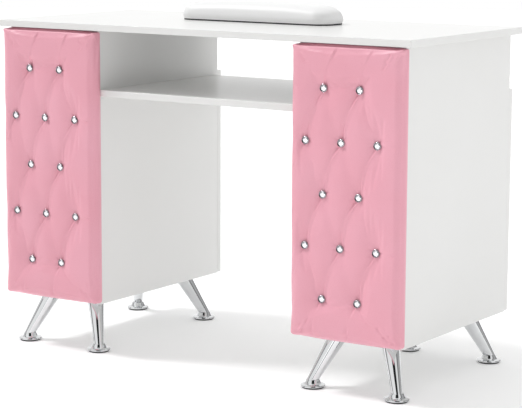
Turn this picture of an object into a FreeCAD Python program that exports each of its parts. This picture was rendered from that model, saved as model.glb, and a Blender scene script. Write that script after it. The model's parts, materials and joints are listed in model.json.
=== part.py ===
import FreeCAD, Part
import math
import os
import re

from FreeCAD import Placement, Rotation, Vector
import Sketcher

# A two-pedestal manicure table. X runs along the top, -Y is the client's side with the tufted panels,
# +Y is the technician's side with the doors, Z is up. The origin lies under the middle of the table's
# box, on the floor. Lengths are in millimetres.

DIMENSIONS = {
    # the top and the two cabinets
    "table_length": 1100, "table_depth": 510, "table_height": 765,
    "board_thick": 15, "edge_round": 0.8,
    "top_middle_y": -8.5,          # middle of the top, so that pads and knobs share the box evenly
    "cabinet_width": 257, "cabinet_reach": 528.5,
    "carcass_front": 234, "carcass_rear": 237.5,
    "cabinet_floor": 117, "divider_top": 625,
    "inside_shelf_top": 372, "inside_shelf_play": 1,
    # the shelf between the cabinets
    "knee_shelf_top": 615, "knee_shelf_depth": 465,
    # upholstered panels and their buttons
    "pad_board_thick": 9, "pad_thick": 16, "pad_round": 9, "pad_width": 271, "pad_height": 625,
    "pad_floor": 121, "pad_wrap": 3,
    "button_size": 18, "button_rise": 3.6, "button_sink": 4, "button_row": 112.2,
    "button_column": 87.5, "button_shift": 14, "pad_middle": 432,
    "shank_size": 3, "washer_size": 14, "washer_thick": 1.6,
    "crystal_size": 14.6, "crystal_table": 8.4, "crystal_rise": 3,
    # doors, knobs and cup hinges
    "door_gap": 1.5, "door_reveal": 1, "door_foot": 118, "door_top": 626,
    "knob_size": 22, "knob_rise": 22, "knob_inset": 38, "knob_drop": 90,
    "hinge_spread": 328, "cup_size": 35, "cup_deep": 11.5, "cup_inset": 22.5,
    "arm_pivot_in": 21.2, "arm_pivot_back": 9.8, "cup_pivot_in": 22, "cup_pivot_deep": 3,
    "pivot_pin": 3, "pivot_hole": 3.8, "cup_pin": 2.5, "cup_eye": 4.2,
    # splayed legs with round feet
    "leg_top_size": 40, "leg_foot_size": 24, "leg_wall": 1.5, "leg_inset": 64, "foot_inset": 24,
    "leg_plate": 70, "leg_plate_thick": 3, "leg_plate_screws": 54,
    "foot_size": 55, "foot_height": 18, "foot_boss": 30, "foot_stem": 8, "glide_thick": 2.5,
    # wrist cushion
    "cushion_length": 412, "cushion_depth": 108, "cushion_height": 48, "cushion_base": 3,
    "cushion_round": 36, "cushion_corner": 42, "cushion_front": 0, "cushion_middle_x": -18,
    # furniture fittings
    "cam_size": 15, "cam_deep": 12, "cam_inset": 34, "bolt_thread": 5, "bolt_shaft": 6,
    "bolt_head": 7, "bolt_in_panel": 11, "bolt_bore": 8,
    "dowel_size": 8, "dowel_length": 30, "dowel_in_panel": 11,
    "screw_size": 4, "screw_head": 8, "screw_head_thick": 2.4, "screw_length": 16,
    "pin_size": 5, "pin_length": 16, "pin_in_panel": 8,
}
SIDES = {"left": -1, "right": 1}
FITTING_Y = {"cam": 120, "dowel": 190, "knee_cam": 100, "knee_dowel": 210}

doc = FreeCAD.newDocument("ManicureTable")
sheet = doc.addObject("Spreadsheet::Sheet", "Dimensions")
for row, (alias, number) in enumerate(DIMENSIONS.items(), start=1):
    sheet.set(f"A{row}", alias.replace("_", " "))
    sheet.set(f"B{row}", str(number))
    sheet.setAlias(f"B{row}", alias)
doc.recompute()

nodes = []          # the sub-parts that are written out


def size(alias):
    """The number in a cell of the sheet."""
    return float(sheet.get(alias))


def link(text):
    """An expression on the sheet's cells, written with their bare names."""
    return re.sub(r"[a-z]\w+", lambda word: f"Dimensions.{word.group()}", str(text))


def bind(item, **expressions):
    for name, text in expressions.items():
        item.setExpression(name.replace("__", "."), link(text))


def place(item, x, y, z):
    bind(item, Placement__Base__x=x, Placement__Base__y=y, Placement__Base__z=z)


# ---------------------------------------------------------------- sketching and solid features

def new_body(name, keep=True):
    body = doc.addObject("PartDesign::Body", name)
    body.Label = name
    if keep:
        nodes.append(body)
    return body


def new_sketch(body, plane, offset="0"):
    """A sketch on one of the body's own origin planes, shifted along the plane's normal."""
    sketch = body.newObject("Sketcher::SketchObject", body.Name + "_sketch")
    origin = next(f for f in body.Origin.OriginFeatures if f.Role == plane)
    sketch.AttachmentSupport = [(origin, "")]
    sketch.MapMode = "FlatFace"
    sketch.setExpression(".AttachmentOffset.Base.z", link(offset))
    return sketch


def polygon(sketch, points):
    """A closed outline through the points; returns the index of its first line."""
    first = sketch.GeometryCount
    corners = [Vector(*point, 0) for point in points]
    for start, end in zip(corners, corners[1:] + corners[:1]):
        sketch.addGeometry(Part.LineSegment(start, end))
    count = len(corners)
    for index in range(count):
        following = first + (index + 1) % count
        sketch.addConstraint(Sketcher.Constraint("Coincident", first + index, 2, following, 1))
    return first


def rectangle(sketch, width, depth):
    """A rectangle from the sketch's origin, its two sizes bound to the sheet."""
    first = polygon(sketch, [(0, 0), (10, 0), (10, 10), (0, 10)])
    for offset, kind in enumerate(["Horizontal", "Vertical", "Horizontal", "Vertical"]):
        sketch.addConstraint(Sketcher.Constraint(kind, first + offset))
    sketch.addConstraint(Sketcher.Constraint("Coincident", first, 1, -1, 1))
    for line, kind, text in ((first, "DistanceX", width), (first + 1, "DistanceY", depth)):
        index = sketch.addConstraint(Sketcher.Constraint(kind, line, 1, line, 2, 10.0))
        sketch.setExpression(f"Constraints[{index}]", link(text))


def circle(sketch, x, y, diameter):
    """A circle at a fixed place, its diameter bound to the sheet."""
    item = sketch.addGeometry(Part.Circle(Vector(x, y, 0), Vector(0, 0, 1), 5))
    index = sketch.addConstraint(Sketcher.Constraint("Diameter", item, 10.0))
    sketch.setExpression(f"Constraints[{index}]", link(diameter))
    return item


def pad(body, sketch, length, midplane=False):
    feature = body.newObject("PartDesign::Pad", body.Name + "_pad")
    feature.Profile = sketch
    feature.Midplane = midplane
    bind(feature, Length=length)
    sketch.Visibility = False
    return feature


def pocket(body, sketch, length, reverse=False):
    """A pocket that must really take material away."""
    doc.recompute()
    before = body.Shape.Volume
    feature = body.newObject("PartDesign::Pocket", body.Name + "_pocket")
    feature.Profile = sketch
    feature.Reversed = reverse
    bind(feature, Length=length)
    doc.recompute()
    if body.Shape.Volume > before - 0.01:
        raise RuntimeError(f"{feature.Name} cuts nothing")
    return feature


def drill(body, plane, offset, spots, diameter, depth, reverse=False):
    """Round blind holes at the spots, which are in the plane's own coordinates."""
    sketch = new_sketch(body, plane, offset)
    for x, y in spots:
        circle(sketch, x, y, diameter)
    return pocket(body, sketch, depth, reverse)


def revolve(body, sketch, axis="V_Axis"):
    feature = body.newObject("PartDesign::Revolution", body.Name + "_turn")
    feature.Profile = sketch
    feature.ReferenceAxis = (sketch, [axis])
    feature.Angle = 360
    return feature


def round_edges(body, radius, edges=None):
    """Round the named edges, or all of them."""
    doc.recompute()
    base = body.Tip
    feature = body.newObject("PartDesign::Fillet", body.Name + "_round")
    feature.Base = (base, edges or ["Edge1"])
    feature.UseAllEdges = edges is None
    bind(feature, Radius=radius)
    return feature


def edges_where(body, test):
    """Names of the edges whose middle and direction pass the test."""
    doc.recompute()
    names = []
    for index, edge in enumerate(body.Shape.Edges, start=1):
        ends = edge.Vertexes[-1].Point - edge.Vertexes[0].Point
        if test(edge.CenterOfMass, ends):
            names.append(f"Edge{index}")
    return names


def board(name, width, depth, height, corner):
    """A laminate board standing on its lowest corner, all edges slightly rounded."""
    body = new_body(name)
    sketch = new_sketch(body, "XY_Plane")
    rectangle(sketch, width, depth)
    pad(body, sketch, height)
    round_edges(body, "edge_round")
    place(body, *corner)
    return body


def turned(name, outline):
    """A pattern piece turned about Z from its half outline of (radius, height) points."""
    body = new_body(name, keep=False)
    sketch = new_sketch(body, "XZ_Plane")
    polygon(sketch, outline)
    revolve(body, sketch)
    doc.recompute()
    return body


def copies(name, pattern, placements):
    """One node that holds a copy of the pattern's solid at each placement."""
    doc.recompute()
    group = doc.addObject("Part::Feature", name)
    group.Label = name
    solids = []
    for placement in placements:
        solid = pattern.Shape.copy()
        solid.Placement = placement.multiply(solid.Placement)
        solids.append(solid)
    group.Shape = Part.makeCompound(solids)
    nodes.append(group)
    return group


def aimed(origin, along, face):
    """A placement whose X points along one direction and whose Z points along the other."""
    side = face.cross(along)
    return Placement(origin, Rotation(along, side, face, "ZXY"))


# ---------------------------------------------------------------- places that several pieces share

X, Y, Z = Vector(1, 0, 0), Vector(0, 1, 0), Vector(0, 0, 1)
MIDDLE_Y = size("top_middle_y")
BOARD = size("board_thick")
FRONT = MIDDLE_Y - size("carcass_front")
REAR = MIDDLE_Y + size("carcass_rear")
TOP_UNDER = size("table_height") - BOARD
INNER = size("cabinet_reach") - size("cabinet_width")
OUTER = size("cabinet_reach")
PANEL_DEPTH = size("carcass_front") + size("carcass_rear")
CLEAR_WIDTH = size("cabinet_width") - 2 * BOARD
BOTTOM_MIDDLE = size("cabinet_floor") + BOARD / 2
DIVIDER_MIDDLE = size("divider_top") - BOARD / 2
KNEE_MIDDLE = size("knee_shelf_top") - BOARD / 2
PIN_HEIGHT = size("inside_shelf_top") - BOARD - size("pin_size") / 2
CAM_BELOW_TOP = size("cam_inset")

cam_places, bolt_places, dowel_places, pin_places = [], [], [], []


def both(distance):
    return (MIDDLE_Y - distance, MIDDLE_Y + distance)


def sides_of(cabinet):
    """The two upright boards of a cabinet: name, inner face's x, and the way into the cabinet."""
    way = SIDES[cabinet]
    yield f"{cabinet}_outer_side", way * (OUTER - BOARD), -way
    yield f"{cabinet}_inner_side", way * (INNER + BOARD), way


def button_spots():
    """Button places on a pad as (x, z), from the cabinet's middle and the pad's middle."""
    shift, column, row = -size("button_shift"), size("button_column"), size("button_row")
    for level in range(-2, 3):
        across = (-0.5, 0.5) if level % 2 == 0 else (-1, 0, 1)
        for step in across:
            yield shift + step * column, level * row


# ---------------------------------------------------------------- boards

def tabletop():
    top = board("tabletop", "table_length", "table_depth", "board_thick",
                ("-table_length / 2", "top_middle_y - table_depth / 2", "table_height - board_thick"))
    half_length, half_depth = size("table_length") / 2, size("table_depth") / 2
    uprights = [way * (reach + inward * BOARD / 2) + half_length
                for way in (-1, 1) for reach, inward in ((OUTER, -1), (INNER, 1))]
    cams = [(x, half_depth + way * FITTING_Y["cam"]) for x in uprights for way in (-1, 1)]
    dowels = [(x, half_depth + way * FITTING_Y["dowel"]) for x in uprights for way in (-1, 1)]
    drill(top, "XY_Plane", "0", cams, "bolt_thread", "bolt_in_panel", reverse=True)
    drill(top, "XY_Plane", "0", dowels, "dowel_size", "dowel_in_panel", reverse=True)


def upright(name, inner_face, inward):
    """A cabinet's side board, drilled for the boards that meet it, for the top and for shelf pins."""
    lowest = size("cabinet_floor")
    left_face = inner_face if inward < 0 else inner_face - BOARD
    body = board(name, "board_thick", "carcass_front + carcass_rear",
                 "table_height - board_thick - cabinet_floor",
                 (left_face, "top_middle_y - carcass_front", "cabinet_floor"))
    face = "0" if inward < 0 else "board_thick"
    from_left = inward < 0
    levels = (BOTTOM_MIDDLE - lowest, DIVIDER_MIDDLE - lowest)
    middle = size("carcass_front")
    spots = {kind: [(middle + way * FITTING_Y[kind], level) for level in levels for way in (-1, 1)]
             for kind in ("cam", "dowel")}
    drill(body, "YZ_Plane", face, spots["cam"], "bolt_thread", "bolt_in_panel", from_left)
    drill(body, "YZ_Plane", face, spots["dowel"], "dowel_size", "dowel_in_panel", from_left)
    pins = [(middle + way * FITTING_Y["cam"], PIN_HEIGHT - lowest) for way in (-1, 1)]
    drill(body, "YZ_Plane", face, pins, "pin_size", "pin_in_panel", from_left)
    cams = [(middle + way * FITTING_Y["cam"], TOP_UNDER - CAM_BELOW_TOP - lowest) for way in (-1, 1)]
    drill(body, "YZ_Plane", face, cams, "cam_size", "cam_deep", from_left)
    rise = "table_height - board_thick - cabinet_floor"
    across = BOARD / 2
    bolts = [(across, middle + way * FITTING_Y["cam"]) for way in (-1, 1)]
    drill(body, "XY_Plane", rise, bolts, "bolt_bore", "cam_inset - cam_size / 2 + 1")
    pegs = [(across, middle + way * FITTING_Y["dowel"]) for way in (-1, 1)]
    drill(body, "XY_Plane", rise, pegs, "dowel_size", "dowel_length - dowel_in_panel")
    if "outer" in name:
        behind = size("carcass_front") + size("carcass_rear") + size("door_gap")
        pilots = [(behind + y, level + z - lowest)
                  for level in door_levels() for y, z in arm_screw_spots()]
        drill(body, "YZ_Plane", face, pilots, "screw_size", "bolt_in_panel", from_left)
    if "inner" in name:
        far = "board_thick" if inward < 0 else "0"
        knee = KNEE_MIDDLE - lowest
        bolts = [(middle + way * FITTING_Y["knee_cam"], knee) for way in (-1, 1)]
        pegs = [(middle + way * FITTING_Y["knee_dowel"], knee) for way in (-1, 1)]
        drill(body, "YZ_Plane", far, bolts, "bolt_thread", "bolt_in_panel", not from_left)
        drill(body, "YZ_Plane", far, pegs, "dowel_size", "dowel_in_panel", not from_left)
    inside = Vector(inward, 0, 0)
    for y in both(FITTING_Y["cam"]):
        for level in (BOTTOM_MIDDLE, DIVIDER_MIDDLE):
            bolt_places.append(aimed(Vector(inner_face, y, level), inside, Z))
            cam_spot = Vector(inner_face + inward * size("cam_inset"), y, level - BOARD / 2)
            cam_places.append(aimed(cam_spot, -inside, Z))
        pin_places.append(aimed(Vector(inner_face, y, PIN_HEIGHT), inside, Z))
        bolt_places.append(aimed(Vector(inner_face - inward * BOARD / 2, y, TOP_UNDER), -Z, X))
        cam_places.append(aimed(Vector(inner_face, y, TOP_UNDER - CAM_BELOW_TOP), Z, -inside))
    for y in both(FITTING_Y["dowel"]):
        for level in (BOTTOM_MIDDLE, DIVIDER_MIDDLE):
            dowel_places.append(aimed(Vector(inner_face, y, level), inside, Z))
        dowel_places.append(aimed(Vector(inner_face - inward * BOARD / 2, y, TOP_UNDER), -Z, X))


def drill_ends(body, length, front_edge, kinds):
    """Holes of a lying board that two uprights carry: bolt and dowel bores in its ends, cams below."""
    middle = MIDDLE_Y - front_edge
    cam, dowel = (FITTING_Y[kind] for kind in kinds)
    level = BOARD / 2
    bolts = [(middle + way * cam, level) for way in (-1, 1)]
    pegs = [(middle + way * dowel, level) for way in (-1, 1)]
    for offset, reverse in (("0", True), (length, False)):
        drill(body, "YZ_Plane", offset, bolts, "bolt_bore", "cam_inset - cam_size / 2 + 1", reverse)
        drill(body, "YZ_Plane", offset, pegs, "dowel_size", "dowel_length - dowel_in_panel", reverse)


def lying_board(name, low_x, front_edge, depth, top, length="cabinet_width - 2 * board_thick"):
    body = board(name, length, depth, "board_thick", (low_x, front_edge, f"{top} - board_thick"))
    kinds = ("knee_cam", "knee_dowel") if name == "knee_shelf" else ("cam", "dowel")
    drill_ends(body, length, front_edge, kinds)
    span = 2 * INNER if name == "knee_shelf" else CLEAR_WIDTH
    cams = [(x, MIDDLE_Y - front_edge + way * FITTING_Y[kinds[0]])
            for x in (size("cam_inset"), span - size("cam_inset")) for way in (-1, 1)]
    drill(body, "XY_Plane", "0", cams, "cam_size", "cam_deep", reverse=True)
    return body


def cabinet_boards(cabinet):
    way = SIDES[cabinet]
    low_x = min(way * (INNER + BOARD), way * (OUTER - BOARD))
    for name, inner_face, inward in sides_of(cabinet):
        upright(name, inner_face, inward)
    bottom = lying_board(f"{cabinet}_bottom_board", low_x, FRONT,
                         "carcass_front + carcass_rear", "cabinet_floor + board_thick")
    screws = [(spot.x - low_x, spot.y - FRONT) for spot in leg_screw_spots(cabinet)]
    drill(bottom, "XY_Plane", "0", screws, "screw_size", "screw_length - leg_plate_thick", reverse=True)
    lying_board(f"{cabinet}_divider_shelf", low_x, FRONT + BOARD,
                "carcass_front + carcass_rear - board_thick", "divider_top")
    play = size("inside_shelf_play")
    board(f"{cabinet}_inside_shelf", "cabinet_width - 2 * board_thick - 2 * inside_shelf_play",
          "carcass_front + carcass_rear - board_thick - 8", "board_thick",
          (low_x + play, FRONT + BOARD + 2, "inside_shelf_top - board_thick"))
    front = board(f"{cabinet}_front_panel", "cabinet_width - 2 * board_thick", "board_thick",
                  "table_height - cabinet_floor - 2 * board_thick",
                  (low_x, FRONT, "cabinet_floor + board_thick"))
    rise = -size("cabinet_floor") - BOARD
    holes = [(x - low_x, z + rise) for x, z in pad_screw_spots(cabinet)]
    drill(front, "XZ_Plane", "0", holes, "screw_size", "board_thick")


def knee_shelf():
    lying_board("knee_shelf", -INNER, FRONT, "knee_shelf_depth", "knee_shelf_top",
                length="2 * (cabinet_reach - cabinet_width)")
    for way in (-1, 1):
        end, inside = way * INNER, Vector(-way, 0, 0)
        for y in both(FITTING_Y["knee_cam"]):
            bolt_places.append(aimed(Vector(end, y, KNEE_MIDDLE), inside, Z))
            spot = Vector(end - way * size("cam_inset"), y, KNEE_MIDDLE - BOARD / 2)
            cam_places.append(aimed(spot, -inside, Z))
        for y in both(FITTING_Y["knee_dowel"]):
            dowel_places.append(aimed(Vector(end, y, KNEE_MIDDLE), inside, Z))


# ---------------------------------------------------------------- upholstered panels

def cabinet_middle(cabinet):
    return SIDES[cabinet] * (INNER + OUTER) / 2


def pad_screw_spots(cabinet):
    """Screws through the front panel into the upholstered board, between the button rows."""
    x, z = cabinet_middle(cabinet), size("pad_middle")
    return [(x + side * 70, z + rise) for side in (-1, 1) for rise in (-267, -42, 163)]


def upholstered_panel(cabinet):
    """A board with foam and cover over its front and its edges, screwed on from inside."""
    low_x = cabinet_middle(cabinet) - size("pad_width") / 2
    wrap, floor = size("pad_wrap"), size("pad_floor")
    thick = "pad_board_thick + pad_thick"
    backing = board(f"{cabinet}_pad_board", "pad_width - 2 * pad_wrap", "pad_board_thick",
                    "pad_height - 2 * pad_wrap",
                    (low_x + wrap, "top_middle_y - carcass_front - pad_board_thick",
                     "pad_floor + pad_wrap"))
    spots = [(size("pad_width") / 2 + x, size("pad_middle") - floor + z) for x, z in button_spots()]
    inner_spots = [(x - wrap, z - wrap) for x, z in spots]
    drill(backing, "XZ_Plane", "0", inner_spots, "shank_size", "pad_board_thick")
    drill(backing, "XZ_Plane", "-pad_board_thick", inner_spots, "washer_size", "washer_thick",
          reverse=True)
    screws = [(x - low_x - wrap, z - floor - wrap) for x, z in pad_screw_spots(cabinet)]
    drill(backing, "XZ_Plane", "-pad_board_thick", screws, "screw_size",
          "screw_length + 4 - board_thick", reverse=True)

    cover = new_body(f"{cabinet}_tufted_pad")
    sketch = new_sketch(cover, "XY_Plane")
    rectangle(sketch, "pad_width", thick)
    pad(cover, sketch, "pad_height")
    front = edges_where(cover, lambda middle, way: abs(middle.y) < 0.01)
    round_edges(cover, "pad_round", front)
    place(cover, low_x, "top_middle_y - carcass_front - pad_board_thick - pad_thick", "pad_floor")
    recess = new_sketch(cover, "XZ_Plane", f"-({thick})")
    edge, far_x, far_z = wrap, size("pad_width") - wrap, size("pad_height") - wrap
    polygon(recess, [(edge, edge), (far_x, edge), (far_x, far_z), (edge, far_z)])
    pocket(cover, recess, "pad_board_thick", reverse=True)
    drill(cover, "XZ_Plane", "0", spots, "button_size + 0.6", "button_sink + button_rise")
    drill(cover, "XZ_Plane", "0", spots, "shank_size", "pad_thick")


def button_patterns():
    """The turned metal shell with its shank, the faceted crystal in it, and the washer behind."""
    radius, rise, shank = size("button_size") / 2, size("button_rise"), size("shank_size") / 2
    seat = size("crystal_size") / 2 + 0.05
    reach = size("pad_thick") - size("button_sink") + size("pad_board_thick") - size("washer_thick")
    shell = turned("button_shell", [
        (0, -rise + 0.8), (seat, -rise + 0.8), (seat, -0.5), (seat + 0.7, 0), (radius - 0.6, -0.3),
        (radius, -1), (radius, -rise + 0.5), (radius - 1, -rise), (shank, -rise), (shank, -reach),
        (0, -reach)])
    washer = turned("button_washer", [
        (shank, 0), (size("washer_size") / 2, 0), (size("washer_size") / 2, size("washer_thick")),
        (shank, size("washer_thick"))])
    crystal = doc.addObject("Part::Loft", "button_crystal")
    rings = []
    for name, diameter, height in (("culet", "crystal_size", "0.8 - button_rise"),
                                   ("girdle", "crystal_size", "1.9 - button_rise"),
                                   ("table", "crystal_table", "0.8 + crystal_rise - button_rise")):
        ring = doc.addObject("Part::RegularPolygon", f"crystal_{name}")
        ring.Polygon = 12
        bind(ring, Circumradius=f"{diameter} / 2", Placement__Base__z=height)
        rings.append(ring)
    crystal.Sections = rings
    crystal.Solid = True
    crystal.Ruled = True
    doc.recompute()
    return shell, crystal, washer


def buttons():
    shell, crystal, washer = button_patterns()
    pad_face = FRONT - size("pad_board_thick") - size("pad_thick")
    washers = []
    for cabinet in SIDES:
        spots = [Vector(cabinet_middle(cabinet) + x, pad_face + size("button_sink"),
                        size("pad_middle") + z) for x, z in button_spots()]
        faces = [aimed(spot, X, -Y) for spot in spots]
        copies(f"{cabinet}_button_shells", shell, faces)
        copies(f"{cabinet}_button_crystals", crystal, faces)
        washers += [aimed(Vector(spot.x, FRONT, spot.z), X, -Y) for spot in spots]
    copies("button_washers", washer, washers)


# ---------------------------------------------------------------- doors with knobs and cup hinges

def door_levels():
    middle = (size("door_foot") + size("door_top")) / 2
    return [middle + way * size("hinge_spread") / 2 for way in (-1, 1)]


def door_axis(cabinet, level):
    """Frame of a hinge: origin on the door's axis, X into the cabinet, Y out at the rear."""
    way = SIDES[cabinet]
    axis = Vector(way * OUTER, REAR + size("door_gap"), level)
    return aimed(axis, Vector(-way, 0, 0), Vector(0, 0, -way))


def cup_screw_spots():
    return [(size("cup_inset") + 5, way * 24) for way in (-1, 1)]


def arm_screw_spots():
    """Screws of a hinge arm's plate, as distances behind the axis and above the hinge's middle."""
    return [(y, z) for y in (-62, -36) for z in (-10, 10)]


def door(cabinet):
    way = SIDES[cabinet]
    low_x = -OUTER + size("door_reveal") if way < 0 else INNER + size("door_reveal")
    body = board(f"{cabinet}_door", "cabinet_width - 2 * door_reveal", "board_thick",
                 "door_top - door_foot", (low_x, "top_middle_y + carcass_rear + door_gap", "door_foot"))
    axis_x = way * OUTER

    def spots(points):
        return [(axis_x - way * x - low_x, level + z - size("door_foot"))
                for level in door_levels() for x, z in points]

    inner_face = "0"
    drill(body, "XZ_Plane", inner_face, spots([(size("cup_inset"), 0)]), "cup_size", "cup_deep")
    drill(body, "XZ_Plane", inner_face, spots(cup_screw_spots()), "3.5", "10")
    knob_x = axis_x - way * (size("cabinet_width") - size("knob_inset")) - low_x
    knob_z = size("door_top") - size("knob_drop") - size("door_foot")
    drill(body, "XZ_Plane", inner_face, [(knob_x, knob_z)], "screw_size", "board_thick")


def knobs():
    radius, rise, screw = size("knob_size") / 2, size("knob_rise"), size("screw_size") / 2
    knob = turned("knob", [
        (screw, 0), (6, 0), (6, 1.5), (4.6, 4), (4.6, 8), (radius - 3, 12), (radius, 14.5),
        (radius, rise - 4), (radius - 2.2, rise - 1.2), (radius - 5, rise), (0, rise), (0, 12),
        (screw, 12)])
    screw_body = turned("knob_bolt", [
        (0, 11.5), (screw, 11.5), (screw, -BOARD), (4, -BOARD), (4, -BOARD - 1), (2.6, -BOARD - 2.2),
        (0, -BOARD - 2.2)])
    for cabinet, way in SIDES.items():
        x = way * (INNER + size("knob_inset"))
        spot = Vector(x, REAR + size("door_gap") + BOARD, size("door_top") - size("knob_drop"))
        copies(f"{cabinet}_door_knob", knob, [aimed(spot, X, Y)])
        copies(f"{cabinet}_knob_screw", screw_body, [aimed(spot, X, Y)])


def bar(start, end, radius, low, high):
    """A flat link with round ends between two points, from one height to another."""
    way = (end - start).normalize()
    side = Vector(-way.y, way.x, 0) * radius
    a, b, c, d = start + side, end + side, end - side, start - side
    edges = [Part.makeLine(a, b), Part.Arc(b, end + way * radius, c).toShape(),
             Part.makeLine(c, d), Part.Arc(d, start - way * radius, a).toShape()]
    face = Part.Face(Part.Wire(edges))
    face.translate(Z * low)
    return face.extrude(Z * (high - low))


def peg(spot, diameter, low, high):
    return Part.makeCylinder(diameter / 2, high - low, spot + Z * low)


def shaped(name, shape):
    item = doc.addObject("Part::Feature", name)
    item.Label = name
    item.Shape = shape.removeSplitter()
    return item


def hinge_patterns():
    """Cup, arm, link and lever of one hinge, in the hinge's frame, even about its middle plane.

    The link swings on the arm by the door's angle and the lever keeps its direction, so that the
    lever's far end stays with the pin in the cup: door, link and lever are a parallelogram.
    """
    arm_pivot = Vector(size("arm_pivot_in"), -size("arm_pivot_back"), 0)
    cup_pivot = Vector(size("cup_pivot_in"), size("cup_pivot_deep"), 0)
    elbow = arm_pivot + cup_pivot
    pin, hole = size("pivot_pin"), size("pivot_hole")
    tongue, plate_low, plate_high = 2.8, 3.2, 4.8       # heights over the hinge's middle plane
    link_round, lever_round, nose_round = 3, 3.3, 2.9   # half widths of the bars

    link_shape = bar(arm_pivot, elbow, link_round, plate_low, plate_high)
    link_shape = link_shape.fuse(bar(arm_pivot, elbow, link_round, -plate_high, -plate_low))
    for spot in (arm_pivot, elbow):
        link_shape = link_shape.fuse(peg(spot, pin, -plate_high, plate_high))
    lever = bar(elbow, cup_pivot, lever_round, -tongue, tongue)
    lever = lever.cut(peg(elbow, hole, -tongue, tongue)).cut(peg(cup_pivot, size("cup_eye"), -9, 9))
    arm_face = BOARD
    plate_thick, plate_long, plate_wide, plate_far = 2, 42, 26, -70
    body_thick, body_long, body_wide, body_far = 9, 52, 12, -68
    arm = Part.makeBox(plate_thick, plate_long, plate_wide, Vector(arm_face, plate_far, -plate_wide / 2))
    arm = arm.fuse(Part.makeBox(body_thick, body_long, body_wide,
                                Vector(arm_face + plate_thick - 0.5, body_far, -body_wide / 2)))
    arm = arm.fuse(bar(Vector(arm_face + 4, -20, 0), arm_pivot, nose_round, -tongue, tongue))
    arm = arm.cut(peg(arm_pivot, hole, -tongue, tongue))
    for y, z in arm_screw_spots():
        arm = arm.cut(Part.makeCylinder(size("screw_size") / 2, 3, Vector(arm_face, y, z), X))
    cup_middle = Vector(size("cup_inset"), 0, 0)
    radius, deep = size("cup_size") / 2, size("cup_deep")
    flange_thick, flange_wide, flange_long, cup_wall = 1.2, 21, 60, 1
    cup = Part.makeCylinder(radius, deep, cup_middle, Y)
    flange = Part.makeBox(flange_wide, flange_thick, flange_long,
                          cup_middle + Vector(-5.5, -flange_thick, -flange_long / 2))
    cup = cup.fuse(flange)
    cup = cup.cut(Part.makeCylinder(radius - cup_wall, deep - cup_wall + flange_thick,
                                    cup_middle - Y * flange_thick, Y))
    cup = cup.fuse(peg(cup_pivot, size("cup_pin"), -radius + 0.6, radius - 0.6))
    for x, z in cup_screw_spots():
        cup = cup.cut(Part.makeCylinder(1.75, 3, Vector(x, -1.5, z), Y))
    return (shaped("hinge_cup", cup), shaped("hinge_arm", arm),
            shaped("hinge_link", link_shape), shaped("hinge_lever", lever))


def screw(name, diameter, head, thick, length):
    """A pan-head screw along -Z with the underside of its head at the origin."""
    return turned(name, [(0, thick), (head * 0.3, thick), (head / 2, thick * 0.3), (head / 2, 0),
                         (diameter / 2, 0), (diameter / 2, 2 - length), (0, -length)])


def hinges():
    cup, arm, link_bar, lever = hinge_patterns()
    cup_screw = screw("cup_screw", 3.5, 6.5, 1.8, 10.8)
    arm_screw = screw("arm_screw", size("screw_size"), 7, 2, 13)
    arm_screws = []
    for cabinet in SIDES:
        frames = [door_axis(cabinet, level) for level in door_levels()]
        copies(f"{cabinet}_hinge_cups", cup, frames)
        copies(f"{cabinet}_hinge_arms", arm, frames)
        copies(f"{cabinet}_hinge_links", link_bar, frames)
        copies(f"{cabinet}_hinge_levers", lever, frames)
        heads = [frame.multiply(aimed(Vector(x, -1.2, z), X, -Y))
                 for frame in frames for x, z in cup_screw_spots()]
        copies(f"{cabinet}_cup_screws", cup_screw, heads)
        arm_screws += [frame.multiply(aimed(Vector(BOARD + 2, y, z), Y, X))
                       for frame in frames for y, z in arm_screw_spots()]
    copies("hinge_screws", arm_screw, arm_screws)


# ---------------------------------------------------------------- legs and feet

def leg_spots(cabinet):
    """Each leg's name, its top on the cabinet and its foot on the floor."""
    way, middle = SIDES[cabinet], cabinet_middle(cabinet)
    half, deep = size("cabinet_width") / 2, (FRONT + REAR) / 2
    for side_name, side in (("outer", way), ("inner", -way)):
        for end_name, end in (("front", -1), ("rear", 1)):
            top = Vector(middle + side * (half - size("leg_inset")),
                         deep + end * (PANEL_DEPTH / 2 - size("leg_inset")), size("cabinet_floor"))
            foot = Vector(middle + side * (half - size("foot_inset")),
                          deep + end * (PANEL_DEPTH / 2 - size("foot_inset")), 0)
            yield f"{cabinet}_{end_name}_{side_name}_leg", top, foot


def leg_screw_spots(cabinet):
    half = size("leg_plate_screws") / 2
    for name, top, foot in leg_spots(cabinet):
        for x in (-half, half):
            for y in (-half, half):
                yield top + Vector(x, y, 0)


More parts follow.
